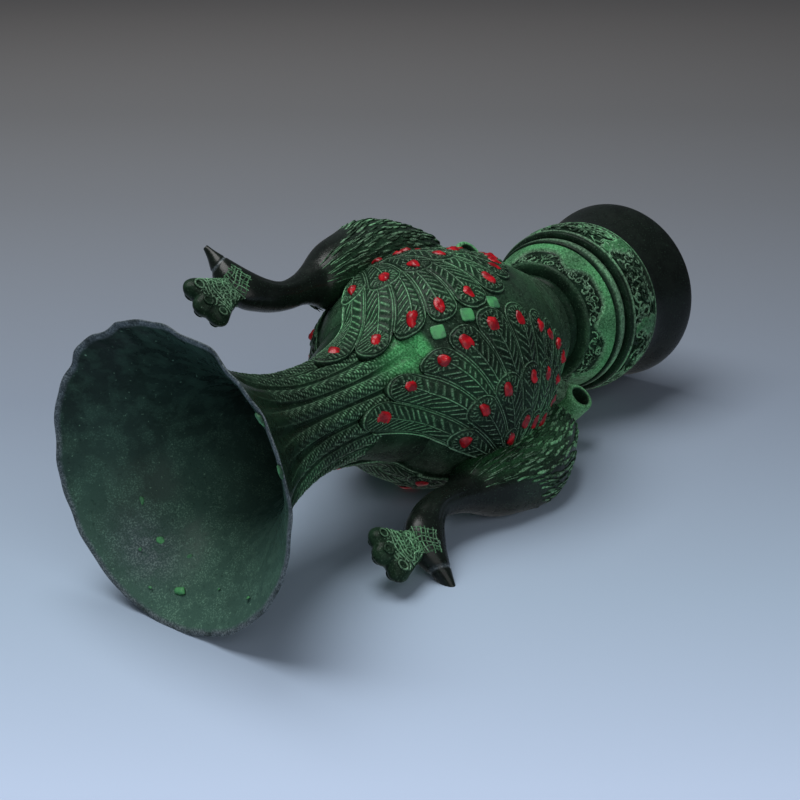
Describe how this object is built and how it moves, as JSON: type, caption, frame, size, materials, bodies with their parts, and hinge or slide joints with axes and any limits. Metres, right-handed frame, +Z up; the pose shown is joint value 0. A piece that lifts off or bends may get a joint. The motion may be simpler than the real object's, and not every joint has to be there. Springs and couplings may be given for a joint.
{
  "type": "bronze vase",
  "caption": "Patinated bronze vase with a flared mouth, ribbed neck, feathered belly, stepped foot and a crested bird handle on each side.",
  "frame": {"origin": "centre of the foot ring's resting face", "axes": "+Z up the axis of the vase towards the mouth, +X towards one bird, -Y towards the front, where the tails meet"},
  "size_m": [0.1074, 0.0716, 0.2],
  "materials": {
    "green_bronze": "green patina, satin",
    "dark_bronze": "near-black patina, satin",
    "red_enamel": "gloss",
    "green_enamel": "satin"
  },
  "bodies": {
    "root": {"base_plate": "dark_bronze", "bead_ring": "green_bronze", "belly": "green_bronze", "bird_handle_left": "dark_bronze", "bird_handle_right": "dark_bronze", "crest_left": "green_bronze", "crest_right": "green_bronze", "feather_eye_back_left_1": "red_enamel", "feather_eye_back_left_2": "red_enamel", "feather_eye_back_left_3": "red_enamel", "feather_eye_back_left_4": "red_enamel", "feather_eye_back_left_5": "red_enamel", "feather_eye_back_left_6": "red_enamel", "feather_eye_back_left_7": "red_enamel", "feather_eye_back_left_8": "red_enamel", "feather_eye_back_right_1": "red_enamel", "feather_eye_back_right_2": "red_enamel", "feather_eye_back_right_3": "red_enamel", "feather_eye_back_right_4": "red_enamel", "feather_eye_back_right_5": "red_enamel", "feather_eye_back_right_6": "red_enamel", "feather_eye_back_right_7": "red_enamel", "feather_eye_back_right_8": "red_enamel", "feather_eye_front_left_1": "red_enamel", "feather_eye_front_left_2": "red_enamel", "feather_eye_front_left_3": "red_enamel", "feather_eye_front_left_4": "red_enamel", "feather_eye_front_left_5": "red_enamel", "feather_eye_front_left_6": "red_enamel", "feather_eye_front_left_7": "red_enamel", "feather_eye_front_left_8": "red_enamel", "feather_eye_front_right_1": "red_enamel", "feather_eye_front_right_2": "red_enamel", "feather_eye_front_right_3": "red_enamel", "feather_eye_front_right_4": "red_enamel", "feather_eye_front_right_5": "red_enamel", "feather_eye_front_right_6": "red_enamel", "feather_eye_front_right_7": "red_enamel", "feather_eye_front_right_8": "red_enamel", "foot_ring": "dark_bronze", "handle_pin_left_1": "dark_bronze", "handle_pin_left_2": "dark_bronze", "handle_pin_right_1": "dark_bronze", "handle_pin_right_2": "dark_bronze", "lower_drum": "green_bronze", "lug_left": "green_bronze", "lug_right": "green_bronze", "neck_trumpet": "green_bronze", "tail_square_back_1": "green_enamel", "tail_square_back_2": "green_enamel", "tail_square_back_3": "green_enamel", "tail_square_front_1": "green_enamel", "tail_square_front_2": "green_enamel", "tail_square_front_3": "green_enamel", "upper_tier": "green_bronze", "waist_collar": "dark_bronze"}
  },
  "joints": []
}
